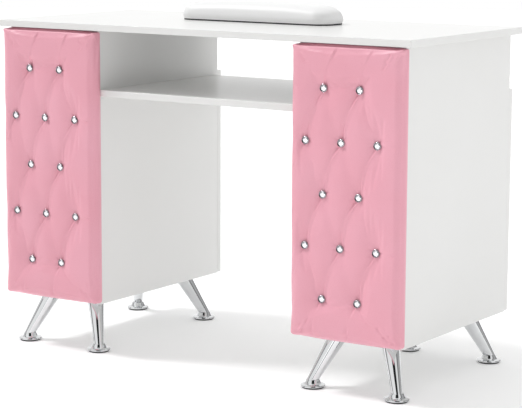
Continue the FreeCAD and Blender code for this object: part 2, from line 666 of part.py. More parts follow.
def leg(name, top, foot):
    """A plate with a tapered tube welded to it, the tube cut level at its foot."""
    plate_under = size("cabinet_floor") - size("leg_plate_thick")
    start = Vector(top.x, top.y, plate_under)
    end = Vector(foot.x, foot.y, size("foot_height"))
    way = (start - end).normalize()
    length = (start - end).Length
    spare = size("leg_top_size") / 2
    taper = (size("leg_top_size") - size("leg_foot_size")) / 2 / length
    tubes = []
    for label, wall in (("tube", "0"), ("bore", "leg_wall")):
        cone = doc.addObject("Part::Cone", f"{name}_{label}")
        bind(cone, Radius1=f"leg_foot_size / 2 - {spare * taper} - {wall}",
             Radius2=f"leg_top_size / 2 + {spare * taper} - {wall}")
        cone.Height = length + 2 * spare
        cone.Placement = Placement(end - way * spare, Rotation(Z, way))
        tubes.append(cone)
    hollow = doc.addObject("Part::Cut", f"{name}_hollow")
    hollow.Base, hollow.Tool = tubes
    slab = doc.addObject("Part::Box", f"{name}_slab")
    bind(slab, Length="3 * leg_plate", Width="3 * leg_plate",
         Height="cabinet_floor - leg_plate_thick - foot_height",
         Placement__Base__x=f"{top.x} - 1.5 * leg_plate",
         Placement__Base__y=f"{top.y} - 1.5 * leg_plate", Placement__Base__z="foot_height")
    tube = doc.addObject("Part::Common", f"{name}_cone")
    tube.Base, tube.Tool = hollow, slab
    plate = new_body(f"{name}_plate", keep=False)
    sketch = new_sketch(plate, "XY_Plane")
    rectangle(sketch, "leg_plate", "leg_plate")
    pad(plate, sketch, "leg_plate_thick")
    corners = edges_where(plate, lambda middle, way: abs(way.z) > 1)
    round_edges(plate, "3 * leg_plate_thick", corners)
    half = size("leg_plate") / 2
    offset = size("leg_plate_screws") / 2
    spots = [(half + x, half + y) for x in (-offset, offset) for y in (-offset, offset)]
    drill(plate, "XY_Plane", "leg_plate_thick", spots, "screw_size", "leg_plate_thick")
    place(plate, f"{top.x} - leg_plate / 2", f"{top.y} - leg_plate / 2",
          "cabinet_floor - leg_plate_thick")
    whole = doc.addObject("Part::Fuse", name)
    whole.Label = name
    whole.Base, whole.Tool = tube, plate
    nodes.append(whole)


def legs_and_feet():
    radius, boss, stem = size("foot_size") / 2, size("foot_boss") / 2, size("foot_stem") / 2
    height, glide = size("foot_height"), size("glide_thick")
    foot = turned("foot", [
        (0, glide), (radius - 2.5, glide), (radius - 0.6, glide + 1.2), (radius, glide + 2.6),
        (radius - 0.7, glide + 4.2), (radius - 3, glide + 5), (boss + 4, glide + 6.2),
        (boss + 2.2, glide + 8.5), (boss, height - 2), (boss - 1, height), (stem, height),
        (stem, height + 8), (0, height + 8)])
    glide_pad = turned("glide", [(0, 0), (radius - 4, 0), (radius - 3.2, 0.8), (radius - 3.2, glide),
                                 (0, glide)])
    plate_screw = screw("leg_screw", size("screw_size"), size("screw_head"),
                        size("screw_head_thick"), size("screw_length"))
    feet = {}
    for cabinet in SIDES:
        spots = list(leg_spots(cabinet))
        for name, top, foot_spot in spots:
            leg(name, top, foot_spot)
        feet[cabinet] = [Placement(foot_spot, Rotation()) for name, top, foot_spot in spots]
        copies(f"{cabinet}_feet", foot, feet[cabinet])
    copies("foot_glides", glide_pad, feet["left"] + feet["right"])
    under = Vector(0, 0, -size("leg_plate_thick"))
    copies("leg_screws", plate_screw, [aimed(spot + under, X, -Z)
                                       for cabinet in SIDES for spot in leg_screw_spots(cabinet)])


# ---------------------------------------------------------------- wrist cushion

def rounded_slab(name, length, depth, height, corner_round, corner):
    """A flat solid whose upright edges are rounded; returns its body."""
    body = new_body(name)
    sketch = new_sketch(body, "XY_Plane")
    rectangle(sketch, length, depth)
    pad(body, sketch, height)
    round_edges(body, corner_round, edges_where(body, lambda middle, way: abs(way.z) > 1))
    place(body, *corner)
    return body


def wrist_cushion():
    low_x = "cushion_middle_x - cushion_length / 2"
    low_y = "top_middle_y + cushion_front"
    rounded_slab("cushion_base", "cushion_length - 6", "cushion_depth - 6", "cushion_base",
                 "cushion_corner - 3", (low_x + " + 3", low_y + " + 3", "table_height"))
    cushion = rounded_slab("wrist_cushion", "cushion_length", "cushion_depth",
                           "cushion_height - cushion_base", "cushion_corner",
                           (low_x, low_y, "table_height + cushion_base"))
    upper = edges_where(cushion, lambda middle, way: abs(middle.z - size("cushion_height")
                                                         + size("cushion_base")) < 0.01)
    round_edges(cushion, "cushion_round", upper)


# ---------------------------------------------------------------- furniture fittings

def fittings():
    cam = turned("cam", [(0, 0), (size("cam_size") / 2 - 0.4, 0), (size("cam_size") / 2, 0.4),
                         (size("cam_size") / 2, size("cam_deep")), (0, size("cam_deep"))])
    mouth = new_sketch(cam, "YZ_Plane", "-bolt_head / 2")
    half, middle = size("bolt_bore") / 2, BOARD / 2
    polygon(mouth, [(-half, middle - half), (half, middle - half), (half, middle + half),
                    (-half, middle + half)])
    pocket(cam, mouth, "cam_size", reverse=True)
    cross = new_sketch(cam, "XY_Plane")
    arm, slot = 3.4, 0.7
    polygon(cross, [(-arm, -slot), (-slot, -slot), (-slot, -arm), (slot, -arm), (slot, -slot),
                    (arm, -slot), (arm, slot), (slot, slot), (slot, arm), (-slot, arm),
                    (-slot, slot), (-arm, slot)])
    pocket(cam, cross, "bolt_in_panel / 5", reverse=True)
    thread, shaft, head = (size(key) / 2 for key in ("bolt_thread", "bolt_shaft", "bolt_head"))
    inset = size("cam_inset")
    bolt = turned("bolt", [(0, -size("bolt_in_panel")), (thread, -size("bolt_in_panel") + 1),
                           (thread, 0), (shaft, 0), (shaft, inset - 9), (thread - 0.6, inset - 7),
                           (thread - 0.6, inset - 2), (head, inset - 1.5), (head, inset + 1.5),
                           (0, inset + 1.5)])
    dowel_radius, inside = size("dowel_size") / 2, size("dowel_in_panel")
    outside = size("dowel_length") - inside
    dowel = turned("dowel", [(0, -inside), (dowel_radius - 1, -inside), (dowel_radius, 1 - inside),
                             (dowel_radius, outside - 1), (dowel_radius - 1, outside),
                             (0, outside)])
    pin_radius, sunk = size("pin_size") / 2, size("pin_in_panel")
    pin = turned("pin", [(0, -sunk), (pin_radius, -sunk), (pin_radius, size("pin_length") - sunk),
                         (0, size("pin_length") - sunk)])
    turn = Placement(Vector(), Rotation(Y, 90))          # the turned pieces run along X from here
    for name, pattern, places in (("cam_bolts", bolt, bolt_places), ("dowels", dowel, dowel_places),
                                  ("shelf_pins", pin, pin_places)):
        copies(name, pattern, [spot.multiply(turn) for spot in places])
    copies("cam_locks", cam, cam_places)
    pad_screw = screw("pad_screw", size("screw_size"), size("screw_head"),
                      size("screw_head_thick"), size("screw_length") + 4)
    copies("pad_screws", pad_screw, [aimed(Vector(x, FRONT + BOARD, z), X, Y)
                                     for cabinet in SIDES for x, z in pad_screw_spots(cabinet)])


tabletop()
for cabinet in SIDES:
    cabinet_boards(cabinet)
    upholstered_panel(cabinet)
    door(cabinet)
knee_shelf()
buttons()
knobs()
hinges()
legs_and_feet()
wrist_cushion()
fittings()
doc.recompute()

for item in doc.Objects:
    if "Invalid" in item.State or "Error" in item.State:
        raise RuntimeError(f"{item.Label} failed: {item.State}")
os.makedirs("parts", exist_ok=True)
for item in nodes:
    if item.Shape.isNull() or not item.Shape.isValid():
        raise RuntimeError(f"{item.Label} has no valid shape")
    item.Shape.exportStep(f"parts/{item.Label}.step")
print(len(nodes), "sub-parts written")
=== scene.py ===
import json
import math
import random

import bmesh
import bpy
import numpy as np
from mathutils import Matrix, Vector


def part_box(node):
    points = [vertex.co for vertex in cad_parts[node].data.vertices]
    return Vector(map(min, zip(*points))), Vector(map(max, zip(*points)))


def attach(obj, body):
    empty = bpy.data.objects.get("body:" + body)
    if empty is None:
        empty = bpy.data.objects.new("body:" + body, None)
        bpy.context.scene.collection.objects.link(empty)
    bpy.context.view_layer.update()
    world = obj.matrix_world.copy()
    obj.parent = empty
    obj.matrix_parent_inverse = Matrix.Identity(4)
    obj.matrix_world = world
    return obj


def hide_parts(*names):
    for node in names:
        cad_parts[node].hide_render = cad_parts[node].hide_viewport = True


# Looks for the two-pedestal manicure table. Every length is in metres, in the frame of the CAD model.

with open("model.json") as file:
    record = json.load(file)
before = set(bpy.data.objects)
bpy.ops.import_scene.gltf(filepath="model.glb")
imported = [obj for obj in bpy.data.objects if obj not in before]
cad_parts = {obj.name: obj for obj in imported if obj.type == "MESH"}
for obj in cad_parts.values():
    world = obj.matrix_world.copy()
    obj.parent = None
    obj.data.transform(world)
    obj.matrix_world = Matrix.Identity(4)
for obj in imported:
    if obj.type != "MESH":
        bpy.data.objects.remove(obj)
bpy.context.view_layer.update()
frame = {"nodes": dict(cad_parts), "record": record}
SIDES = ("left", "right")
scene = bpy.context.scene
scene.view_settings.view_transform = "Standard"


# ---------------------------------------------------------------- camera, floor and light

# Turns are in radians, the lens is in millimetres and the key's spread in degrees.
CAMERA_SPOT = Vector((2.4512, -3.6551, 1.0492))
CAMERA_YAW, CAMERA_PITCH, CAMERA_ROLL = 0.5884, -0.1584, 0.0045
CAMERA_LENS = 132.57
FLOOR_RADIUS, FLOOR_SIDES = 14, 64
FLOOR_GLOW = 0.12
ROOM_LIGHT, ROOM_LEAN = 0.6, (0.06, 0.36, 0.36)
KEY_FROM, KEY_LIGHT, KEY_SPREAD = (-0.6, -0.2, 0.77), 1.5, 12
FILL_FROM, FILL_AT, FILL_SIZE, FILL_POWER = (0.75, -1.7, 0.5), (-0.29, 0, 0.66), 0.7, 1.3
# How bright the room's walls are in mirrors, once round from the left, and where the white ceiling starts.
WALLS = ((0.0, 0.35), (0.05, 0.9), (0.09, 0.1), (0.13, 1.0), (0.27, 1.0), (0.29, 0.02), (0.40, 0.02),
         (0.42, 1.0), (0.50, 0.9), (0.53, 0.08), (0.58, 0.5), (0.68, 0.4), (0.73, 0.12), (0.78, 1.0))
CEILING_START, CEILING_END = 0.8, 0.92


def camera():
    level = Vector((math.cos(CAMERA_YAW), math.sin(CAMERA_YAW), 0))
    ahead = Vector((-math.sin(CAMERA_YAW) * math.cos(CAMERA_PITCH),
                    math.cos(CAMERA_YAW) * math.cos(CAMERA_PITCH), math.sin(CAMERA_PITCH)))
    over = level.cross(ahead)
    right = math.cos(CAMERA_ROLL) * level + math.sin(CAMERA_ROLL) * over
    up = right.cross(ahead)
    eye = bpy.data.objects.new("camera", bpy.data.cameras.new("camera"))
    eye.data.lens = CAMERA_LENS
    turned = Matrix((right, up, -ahead)).transposed().to_4x4()
    eye.matrix_world = Matrix.Translation(CAMERA_SPOT) @ turned
    scene.collection.objects.link(eye)
    scene.camera = eye


def new_object(name, mesh):
    made = bpy.data.objects.new(name, mesh)
    scene.collection.objects.link(made)
    return made


def mesh_object(name, points, faces, smooth=True):
    mesh = bpy.data.meshes.new(name)
    mesh.from_pydata([tuple(point) for point in points], [], [tuple(face) for face in faces])
    mesh.polygons.foreach_set("use_smooth", [smooth] * len(mesh.polygons))
    mesh.update()
    return new_object(name, mesh)


def floor():
    rim = [(FLOOR_RADIUS * math.cos(turn), FLOOR_RADIUS * math.sin(turn), 0)
           for turn in np.linspace(0, math.tau, FLOOR_SIDES, endpoint=False)]
    ground = mesh_object("floor", rim, [range(len(rim))], smooth=False)
    return ground


def softboxes(tree, where):
    """The walls as mirrors see them: softboxes with dark gaps between them, under a white ceiling."""
    new = tree.nodes.new
    split, turn = new("ShaderNodeSeparateXYZ"), new("ShaderNodeMath")
    tree.links.new(where, split.inputs[0])
    turn.operation = "ARCTAN2"
    tree.links.new(split.outputs["Y"], turn.inputs[0])
    tree.links.new(split.outputs["X"], turn.inputs[1])
    spread = new("ShaderNodeMapRange")
    spread.inputs["From Min"].default_value = -math.pi
    spread.inputs["From Max"].default_value = math.pi
    tree.links.new(turn.outputs[0], spread.inputs["Value"])
    gaps = new("ShaderNodeValToRGB")
    ramp = gaps.color_ramp
    ramp.elements[0].position, ramp.elements[1].position = WALLS[0][0], WALLS[-1][0]
    for position, _ in WALLS[1:-1]:
        ramp.elements.new(position)
    for element, (position, grey) in zip(ramp.elements, WALLS):
        element.position, element.color = position, (grey, grey, grey, 1)
    tree.links.new(spread.outputs["Result"], gaps.inputs["Fac"])
    high = new("ShaderNodeMapRange")
    high.inputs["From Min"].default_value = CEILING_START
    high.inputs["From Max"].default_value = CEILING_END
    tree.links.new(split.outputs["Z"], high.inputs["Value"])
    room = new("ShaderNodeMixRGB")
    room.inputs["Color2"].default_value = (1, 1, 1, 1)
    tree.links.new(high.outputs["Result"], room.inputs["Fac"])
    tree.links.new(gaps.outputs["Color"], room.inputs["Color1"])
    return room.outputs["Color"]


def leaning(tree, where):
    """Strength of the room's light, which is greater on one side."""
    lean, level = tree.nodes.new("ShaderNodeVectorMath"), tree.nodes.new("ShaderNodeMath")
    lean.operation = "DOT_PRODUCT"
    lean.inputs[1].default_value = ROOM_LEAN
    level.inputs[1].default_value = ROOM_LIGHT
    tree.links.new(where, lean.inputs[0])
    tree.links.new(lean.outputs["Value"], level.inputs[0])
    return level.outputs[0]


def studio():
    """A white room: plain to the camera, leaning for the light it gives, and with softboxes in mirrors."""
    scene.world = bpy.data.worlds.new("studio")
    scene.world.use_nodes = True
    tree = scene.world.node_tree
    tree.nodes.clear()
    new = tree.nodes.new
    out, where = new("ShaderNodeOutputWorld"), new("ShaderNodeTexCoord").outputs["Generated"]
    mirrored, even, seen = (new("ShaderNodeBackground") for _ in range(3))
    tree.links.new(softboxes(tree, where), mirrored.inputs["Color"])
    tree.links.new(leaning(tree, where), even.inputs["Strength"])
    for background in (even, seen):
        background.inputs["Color"].default_value = (1, 1, 1, 1)
    rays = new("ShaderNodeLightPath")
    by_gloss, by_sight = new("ShaderNodeMixShader"), new("ShaderNodeMixShader")
    tree.links.new(rays.outputs["Is Glossy Ray"], by_gloss.inputs[0])
    tree.links.new(even.outputs[0], by_gloss.inputs[1])
    tree.links.new(mirrored.outputs[0], by_gloss.inputs[2])
    tree.links.new(rays.outputs["Is Camera Ray"], by_sight.inputs[0])
    tree.links.new(by_gloss.outputs[0], by_sight.inputs[1])
    tree.links.new(seen.outputs[0], by_sight.inputs[2])
    tree.links.new(by_sight.outputs[0], out.inputs["Surface"])


def lamps():
    """A sun from the upper left, and a weak lamp in front that lights the knee space."""
    key = bpy.data.lights.new("key", "SUN")
    key.energy, key.angle = KEY_LIGHT, math.radians(KEY_SPREAD)
    new_object("key", key).rotation_euler = (-Vector(KEY_FROM)).to_track_quat("-Z", "Y").to_euler()
    fill = bpy.data.lights.new("fill", "AREA")
    fill.size, fill.energy = FILL_SIZE, FILL_POWER
    lamp = new_object("fill", fill)
    lamp.location = FILL_FROM
    lamp.rotation_euler = (Vector(FILL_AT) - Vector(FILL_FROM)).to_track_quat("-Z", "Y").to_euler()


# ---------------------------------------------------------------- materials

class Finish:
    """A principled material that is built from its object's own coordinates."""

    def __init__(self, name, colour, roughness, **sockets):
        self.material = bpy.data.materials.new(name)
        self.material.use_nodes = True
        self.tree = self.material.node_tree
        self.shader = self.tree.nodes["Principled BSDF"]
        self.where = self.tree.nodes.new("ShaderNodeTexCoord").outputs["Object"]
        self.colour = (*colour, 1)
        self.shader.inputs["Base Color"].default_value = self.colour
        self.shader.inputs["Roughness"].default_value = roughness
        for socket, value in sockets.items():
            self.shader.inputs[socket.replace("_", " ")].default_value = value

    def link(self, source, target):
        self.tree.links.new(source, target)

    def stretched(self, scale):
        """The object's coordinates with a scale for each axis."""
        mapping = self.tree.nodes.new("ShaderNodeMapping")
        mapping.inputs["Scale"].default_value = scale
        self.link(self.where, mapping.inputs["Vector"])
        return mapping.outputs["Vector"]

    def noise(self, scale, detail=3.0, distortion=0.0, where=None):
        texture = self.tree.nodes.new("ShaderNodeTexNoise")
        texture.inputs["Scale"].default_value = scale
        texture.inputs["Detail"].default_value = detail
        texture.inputs["Distortion"].default_value = distortion
        self.link(where or self.where, texture.inputs["Vector"])
        return texture.outputs["Fac"]

    def cells(self, scale):
        texture = self.tree.nodes.new("ShaderNodeTexVoronoi")
        texture.feature = "SMOOTH_F1"
        texture.inputs["Scale"].default_value = scale
        self.link(self.where, texture.inputs["Vector"])
        return texture.outputs["Distance"]

    def spread(self, source, low, high, start=0.0, end=1.0):
        """source moved from start..end to low..high."""
        ranged = self.tree.nodes.new("ShaderNodeMapRange")
        for socket, value in zip(("From Min", "From Max", "To Min", "To Max"), (start, end, low, high)):
            ranged.inputs[socket].default_value = value
        self.link(source, ranged.inputs["Value"])
        return ranged.outputs["Result"]

    def tint(self, factor, other):
        """Goes from the base colour to other by factor, over whatever is tinted already."""
        mix = self.tree.nodes.new("ShaderNodeMixRGB")
        self.link(factor, mix.inputs["Fac"])
        base = self.shader.inputs["Base Color"]
        if base.links:
            self.link(base.links[0].from_socket, mix.inputs["Color1"])
        else:
            mix.inputs["Color1"].default_value = self.colour
        mix.inputs["Color2"].default_value = (*other, 1)
        self.link(mix.outputs["Color"], base)
        return self

    def rough(self, source, low, high):
        self.link(self.spread(source, low, high), self.shader.inputs["Roughness"])
        return self

    def bump(self, height, distance, strength=1.0):
        node = self.tree.nodes.new("ShaderNodeBump")
        node.inputs["Strength"].default_value = strength
        node.inputs["Distance"].default_value = distance
        self.link(height, node.inputs["Height"])
        normal = self.shader.inputs["Normal"]
        if normal.links:
            self.link(normal.links[0].from_socket, node.inputs["Normal"])
        self.link(node.outputs["Normal"], normal)
        return self


def leather(name, colour, deep, pale):
    finish = Finish(name, colour, 0.45, Coat_Weight=0.12, Coat_Roughness=0.35)
    broad, pores = finish.noise(7, 2), finish.cells(1100)
    finish.tint(finish.spread(broad, 0, 0.55, 0.35, 0.7), pale)
    finish.tint(finish.spread(pores, 0, 0.35, 0.35, 0.75), deep)
    finish.rough(finish.noise(160, 4), 0.38, 0.54)
    finish.bump(pores, 0.00022, 0.5)
    finish.bump(finish.noise(260, 5, 0.4), 0.0003, 0.35)
    return finish.material


def laminate(name, colour, deep):
    finish = Finish(name, colour, 0.3, Coat_Weight=0.25, Coat_Roughness=0.12)
    finish.tint(finish.spread(finish.noise(3.5, 3), 0, 0.6, 0.3, 0.75), deep)
    finish.rough(finish.noise(55, 4), 0.26, 0.4)
    finish.bump(finish.noise(420, 3), 0.00008, 0.4)
    return finish.material


def hardboard():
    finish = Finish("painted_hardboard", (0.78, 0.78, 0.77), 0.6)
    fibres = finish.noise(140, 6, 0.6, finish.stretched((1, 1, 3)))
    finish.tint(finish.spread(fibres, 0, 0.6, 0.4, 0.8), (0.62, 0.58, 0.52))
    finish.rough(fibres, 0.5, 0.75)
    finish.bump(fibres, 0.0002, 0.5)
    return finish.material


def metal(name, colour, smear, low, high, dent=0.00001):
    finish = Finish(name, colour, low, Metallic=1.0)
    finish.tint(finish.spread(finish.noise(18, 4), 0, 0.7, 0.4, 0.8), smear)
    finish.rough(finish.noise(90, 5), low, high)
    finish.bump(finish.noise(240, 2), dent, 0.3)
    return finish.material


def crystal():
    finish = Finish("foiled_crystal", (0.93, 0.94, 0.97), 0.03, Metallic=0.9, Coat_Weight=1.0,
                    Coat_Roughness=0.02)
    finish.tint(finish.spread(finish.cells(420), 0, 0.5, 0.2, 0.9), (0.72, 0.74, 0.8))
    finish.rough(finish.noise(300, 3), 0.02, 0.06)
    return finish.material


def black_plastic():
    finish = Finish("black_plastic", (0.012, 0.012, 0.013), 0.5)
    finish.tint(finish.spread(finish.noise(30, 3), 0, 0.6), (0.03, 0.03, 0.032))
    finish.rough(finish.noise(120, 4), 0.42, 0.62)
    finish.bump(finish.noise(600, 2), 0.0001, 0.5)
    return finish.material


def beech():
    finish = Finish("beech", (0.56, 0.36, 0.2), 0.6)
    grain = finish.noise(40, 8, 1.2, finish.stretched((1, 6, 6)))
    finish.tint(finish.spread(grain, 0, 0.9, 0.3, 0.7), (0.42, 0.24, 0.12))
    finish.rough(grain, 0.5, 0.7)
    finish.bump(grain, 0.0002, 0.6)
    return finish.material


def floor_paint():
    finish = Finish("pale_floor", (0.93, 0.93, 0.93), 0.85, Emission_Color=(1, 1, 1, 1),
                    Emission_Strength=FLOOR_GLOW)
    finish.tint(finish.spread(finish.noise(1.2, 3), 0, 0.5), (0.91, 0.91, 0.91))
    finish.rough(finish.noise(6, 3), 0.8, 0.95)
    return finish.material


def dress(finishes):
    """Gives each CAD node the finish of its slot in the record, and the buttons' shells a darker, pinkish
    copy of chrome with painted shade and a painted reflection of the pink pads.
    """
    for subpart in frame["record"]["subparts"]:
        name = subpart["node"]
        materials = frame["nodes"][name].data.materials
        materials.clear()
        # The buttons' shells take the darker chrome copy, whose colour is painted shade and a painted
        # reflection of the pink pads.
        materials.append(finishes["rim" if name.endswith("button_shells") else subpart["material_slot"]])


# ---------------------------------------------------------------- upholstery

CLOTH_FRAMES, CLOTH_QUALITY = 20, 6
CLOTH_STIFFNESS, CLOTH_BENDING, CLOTH_PRESSURE = 12.0, 0.3, 4.0


def simulate(piece, pinned, cap):
    """Blows the piece up as cloth round its pinned points, no further than cap, and keeps the shape."""
    group = piece.vertex_groups.new(name="pinned")
    group.add([int(index) for index in pinned], 1.0, "REPLACE")
    modifier = piece.modifiers.new("cloth", "CLOTH")
    cloth = modifier.settings
    cloth.quality = CLOTH_QUALITY
    cloth.vertex_group_mass = "pinned"
    cloth.tension_stiffness = cloth.compression_stiffness = CLOTH_STIFFNESS
    cloth.shear_stiffness = CLOTH_STIFFNESS / 2
    cloth.bending_stiffness = CLOTH_BENDING
    cloth.use_pressure = True
    cloth.uniform_pressure_force = CLOTH_PRESSURE
    cloth.effector_weights.gravity = 0
    modifier.collision_settings.use_collision = False
    modifier.point_cache.frame_start, modifier.point_cache.frame_end = 1, CLOTH_FRAMES
    rest = vertices(piece.data)
    for step in range(1, CLOTH_FRAMES + 1):
        scene.frame_set(step)
    moved = vertices(piece.evaluated_get(bpy.context.evaluated_depsgraph_get()).data)
    piece.modifiers.remove(modifier)
    piece.vertex_groups.remove(group)
    scene.frame_set(1)
    shift = moved - rest
    length = np.linalg.norm(shift, axis=1, keepdims=True)
    shift *= np.minimum(1, cap / np.maximum(length, 1e-9))
    piece.data.vertices.foreach_set("co", (rest + shift).ravel())
    piece.data.update()


def vertices(mesh):
    found = np.zeros(len(mesh.vertices) * 3)
    mesh.vertices.foreach_get("co", found)
    return found.reshape(-1, 3)


def normals(mesh):
    found = np.zeros(len(mesh.vertices) * 3)
    mesh.vertex_normals.foreach_get("vector", found)
    return found.reshape(-1, 3)


def subdivide(piece):
    smoother = piece.modifiers.new("smoother", "SUBSURF")
    smoother.levels = smoother.render_levels = 1
    smoother.boundary_smooth = "PRESERVE_CORNERS"
    fine = bpy.data.meshes.new_from_object(piece.evaluated_get(bpy.context.evaluated_depsgraph_get()))
    piece.modifiers.remove(smoother)
    fine.polygons.foreach_set("use_smooth", [True] * len(fine.polygons))
    piece.data = fine


def close_back(piece):
    """Fills the open back of a cover with flat faces."""
    made = bmesh.new()
    made.from_mesh(piece.data)
    rim = [edge for edge in made.edges if edge.is_boundary]
    filled = bmesh.ops.edgeloop_fill(made, edges=rim)["faces"]
    for face in bmesh.ops.triangulate(made, faces=filled)["faces"]:
        face.smooth = False
    made.to_mesh(piece.data)
    made.free()


def grid_faces(columns, rows):
    """Faces of a grid of columns by rows, whose points run along each row, from the first row on."""
    wide = columns + 1
    starts = [row * wide + column for row in range(rows) for column in range(columns)]
    return [(start, start + 1, start + wide + 1, start + wide) for start in starts]


def grid_rim(columns, rows):
    """Numbers of the points round a grid's edge."""
    wide = columns + 1
    right = [row * wide + columns for row in range(rows)]
    top = [rows * wide + column for column in range(columns, 0, -1)]
    left = [row * wide for row in range(rows, 0, -1)]
    return [*range(columns), *right, *top, *left]


def strip(current, last):
    """Faces between two closed rings of points."""
    return [(current[index], current[following], last[following], last[index])
            for index, following in enumerate([*range(1, len(last)), 0])]


PAD_STEP = 0.0029
PAD_ROUND, TOP_SQUARENESS = 0.008, 4.5
PAD_LIP, PAD_RECESS = 0.0028, 0.009
PAD_CAP, PINNED_DEPTH = 0.003, 0.004
BUTTON_COLUMN, BUTTON_ROW, BUTTON_SHIFT, BUTTON_MIDDLE = 0.0875, 0.1122, -0.014, 0.432
BUTTON_RADIUS, BUTTON_BED = 0.009, 0.0078
ROW_COUNTS = (2, 3, 2, 3, 2)
SPOT_SLACK = 0.01


def button_spots(middle_x):
    """Where the buttons sit on a panel, as x and z, from the bottom row up."""
    spots = []
    for row, count in enumerate(ROW_COUNTS):
        height = BUTTON_MIDDLE + (row - 2) * BUTTON_ROW
        spots += [(middle_x + BUTTON_SHIFT + (column - (count - 1) / 2) * BUTTON_COLUMN, height)
                  for column in range(count)]
    return spots


def neighbours(spots, lean):
    """Pairs of buttons, the upper one first, whose line goes down to the left (lean -1) or right (1)."""
    pairs = []
    for upper in spots:
        for lower in spots:
            across, down = lower[0] - upper[0], upper[1] - lower[1]
            if max(abs(down - BUTTON_ROW), abs(across - lean * BUTTON_COLUMN / 2)) < SPOT_SLACK:
                pairs.append((upper, lower))
    return pairs


def curve_points(corners, count=40):
    """Points on a Bezier curve from the first to the last of four corners."""
    along = np.linspace(0, 1, count)[:, None]
    a, b, c, d = (np.array(corner, float) for corner in corners)
    return ((1 - along) ** 3 * a + 3 * (1 - along) ** 2 * along * b
            + 3 * (1 - along) * along ** 2 * c + along ** 3 * d)


def beside(flat, path):
    """For points on the panel: the distance to a path, with its sign, and how far along it that is."""
    start, step = path[:-1], np.diff(path, axis=0)
    length = np.linalg.norm(step, axis=1)
    best = np.full(len(flat), np.inf)
    signed, along = np.zeros(len(flat)), np.zeros(len(flat))
    reached = np.concatenate([[0], np.cumsum(length)])
    for index, (origin, way, size) in enumerate(zip(start, step, length)):
        offset = flat - origin
        share = np.clip((offset @ way) / size ** 2, 0, 1)
        gap = offset - share[:, None] * way
        distance = np.linalg.norm(gap, axis=1)
        closer = distance < best
        best[closer] = distance[closer]
        turn = way[0] * gap[:, 1] - way[1] * gap[:, 0]
        signed[closer] = (np.sign(turn) * distance)[closer]
        along[closer] = ((reached[index] + share * size) / reached[-1])[closer]
    return signed, along


FOLD_MARGIN, FOLD_ENDS = 0.03, 0.12
LIP_PLACE, LIP_WIDTH, LIP_HEIGHT = 2.1, 1.3, 0.4
FOLD_MIDDLE, FOLD_SWING = 0.55, 0.45


def fold(flat, path, depth, soft=0.0055, crisp=0.0018):
    """Depth of a fold: gentle on one side of its line and crisp on the other, with a raised lip."""
    near = (np.abs(flat - path.mean(0)) < np.abs(path - path.mean(0)).max(0) + FOLD_MARGIN).all(1)
    result = np.zeros(len(flat))
    signed, along = beside(flat[near], path)
    width = np.where(signed < 0, soft, crisp)
    ends = np.clip(np.minimum(along, 1 - along) / FOLD_ENDS, 0, 1)
    ends = ends * ends * (3 - 2 * ends)
    valley = np.exp(-(signed / width) ** 2)
    ridge = np.exp(-((signed - LIP_PLACE * crisp) / (LIP_WIDTH * crisp)) ** 2)
    strength = FOLD_MIDDLE + FOLD_SWING * np.cos(math.tau * along)
    result[near] = depth * ends * strength * (valley - LIP_HEIGHT * ridge)
    return result


def panel_skin(width, height, depth):
    """Grid over the front and sides of a slab with a recess in its back, as across, up and out."""
    columns, rows, layers = (round(size / PAD_STEP) for size in (width, height, depth))
    across = np.linspace(-width / 2, width / 2, columns + 1)
    up = np.linspace(-height / 2, height / 2, rows + 1)
    points = [(x, z, depth) for z in up for x in across]
    faces, last = grid_faces(columns, rows), grid_rim(columns, rows)
    front = [points[index][:2] for index in last]
    lip = np.array([width / 2 - PAD_LIP, height / 2 - PAD_LIP])
    inner = np.clip(front, -lip, lip)
    levels = [(front, depth * (1 - layer / layers)) for layer in range(1, layers + 1)]
    levels += [(inner, 0), (inner, PAD_RECESS)]
    for outline, out in levels:
        current = list(range(len(points), len(points) + len(last)))
        points += [(x, z, out) for x, z in outline]
        faces += strip(current, last)
        last = current
    return np.array(points, float), faces, len(points) - 2 * len(last)


def rounded(points, outer, width, height, depth):
    """Rolls the slab's front edges and corners."""
    core = np.array([width / 2 - PAD_ROUND, height / 2 - PAD_ROUND])
    result = points.copy()
    skin = points[:outer]
    inner = np.column_stack([np.clip(skin[:, :2], -core, core), np.minimum(skin[:, 2], depth - PAD_ROUND)])
    away = skin - inner
    squareness = 2 + (TOP_SQUARENESS - 2) * np.clip(away[:, 1] / PAD_ROUND, 0, 1)
    length = (np.abs(away) ** squareness[:, None]).sum(1) ** (1 / squareness)
    rolled = length > 1e-9
    result[:outer][rolled] = inner[rolled] + PAD_ROUND * away[rolled] / length[rolled, None]
    return result


BED_EDGE, BED_REACH, BED_POWER = 0.9, 0.0125, 1.15
HOLLOW_DEPTH, HOLLOW_REACH = 0.003, 0.036
VALLEYS = ((-1, 0.0034, 0.015), (1, 0.002, 0.016))


def tufting(flat, spots):
    """How far the cover is pulled in from its crown by the buttons, and in the valleys between them."""
    pulled = np.zeros(len(flat))
    for spot in spots:
        distance = np.linalg.norm(flat - np.array(spot), axis=1)
        beyond = np.maximum(distance - BUTTON_RADIUS * BED_EDGE, 0)
        pulled += (BUTTON_BED - HOLLOW_DEPTH) * np.exp(-(beyond / BED_REACH) ** BED_POWER)
        pulled += HOLLOW_DEPTH * np.exp(-(distance / HOLLOW_REACH) ** 2)
    for lean, depth, width in VALLEYS:
        for upper, lower in neighbours(spots, lean):
            signed, along = beside(flat, np.array([upper, lower]))
            pulled += depth * np.exp(-(signed / width) ** 2) * np.sin(math.pi * np.clip(along, 0, 1)) ** 0.5
    return np.minimum(pulled, BUTTON_BED)


# The two bends of a fold that runs from a button to the rim, as offsets across and up from the button.
UP_BENDS = ((0.006, 0.02), (0.012, 0.05))
DOWN_BENDS = ((-0.014, -0.022), (-0.018, -0.05))
RIGHT_BENDS = ((0.015, 0.001), (0.03, -0.001))
LEFT_BENDS = ((-0.008, -0.016), (-0.016, -0.036))
# How near to the rim a button has to be for such a fold: at the top or bottom, right and left.
END_REACH, RIGHT_REACH, LEFT_REACH = 0.12, 0.09, 0.07


